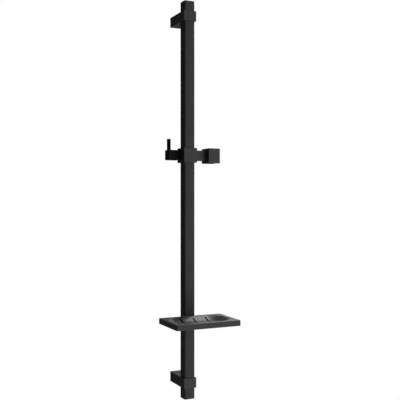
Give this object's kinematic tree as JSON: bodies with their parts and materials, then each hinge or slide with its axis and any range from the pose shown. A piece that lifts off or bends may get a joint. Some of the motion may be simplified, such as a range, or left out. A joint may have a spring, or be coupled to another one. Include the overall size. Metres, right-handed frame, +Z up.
{
  "type": "shower slide rail with soap dish",
  "caption": "Matt black square wall shower rail with a sliding clamp block, a tilting handset holder and a height-adjustable soap dish.",
  "frame": {"origin": "on the wall plane, midway between the two wall screw holes, behind the rail's axis", "axes": "+X to the right seen from the front, +Y into the wall, +Z up along the rail"},
  "size_m": [0.1344, 0.1592, 0.8],
  "materials": {
    "black_tube": "satin",
    "black_cast": "satin",
    "black_knob": "satin",
    "black_pin": "satin",
    "black_dish": "satin",
    "black_cap": "satin",
    "steel": "satin",
    "zinc_base": "satin",
    "nylon": "matte"
  },
  "bodies": {
    "rail": {"rail_tube": "black_tube", "upper_cap": "black_cap", "lower_cap": "black_cap", "upper_bracket": "black_cast", "lower_bracket": "black_cast", "upper_base": "zinc_base", "lower_base": "zinc_base", "upper_lock": "steel", "lower_lock": "steel", "upper_set": "steel", "lower_set": "steel"},
    "slider": {"slider_block": "black_cast", "slider_liner": "nylon", "left_ring": "nylon", "right_ring": "nylon"},
    "clamp_lever": {"clamp_knob": "black_knob", "lever_pin": "black_pin", "clamp_spindle": "steel", "knob_screw": "steel"},
    "brake_shoe": {"brake_shoe": "nylon"},
    "holder": {"holder_cup": "black_cast", "socket_sleeve": "nylon", "holder_screw": "steel"},
    "dish": {"soap_dish": "black_dish", "dish_collar": "black_cast", "dish_pad": "nylon", "dish_set": "steel", "left_dish_screw": "steel", "right_dish_screw": "steel"}
  },
  "joints": [
    {"name": "slider_slide", "type": "slide", "parent": "rail", "child": "slider", "axis": [0, 0, 1], "range_m": [-0.2, 0.25]},
    {"name": "lever_turn", "type": "hinge", "parent": "slider", "child": "clamp_lever", "pos_m": [0, -0.0423, 0.0897], "axis": [1, 0, 0], "range_deg": [0, 90]},
    {"name": "shoe_press", "type": "slide", "parent": "slider", "child": "brake_shoe", "axis": [0, 1, 0], "range_m": [0, 0.00025]},
    {"name": "holder_tilt", "type": "hinge", "parent": "slider", "child": "holder", "pos_m": [0, -0.0423, 0.0897], "axis": [1, 0, 0], "range_deg": [-90, 90]},
    {"name": "dish_slide", "type": "slide", "parent": "rail", "child": "dish", "axis": [0, 0, 1], "range_m": [-0.093, 0.06]}
  ],
  "couplings": [
    {"joint": "shoe_press", "follows": "lever_turn", "m_per_rad": 0.000159}
  ]
}
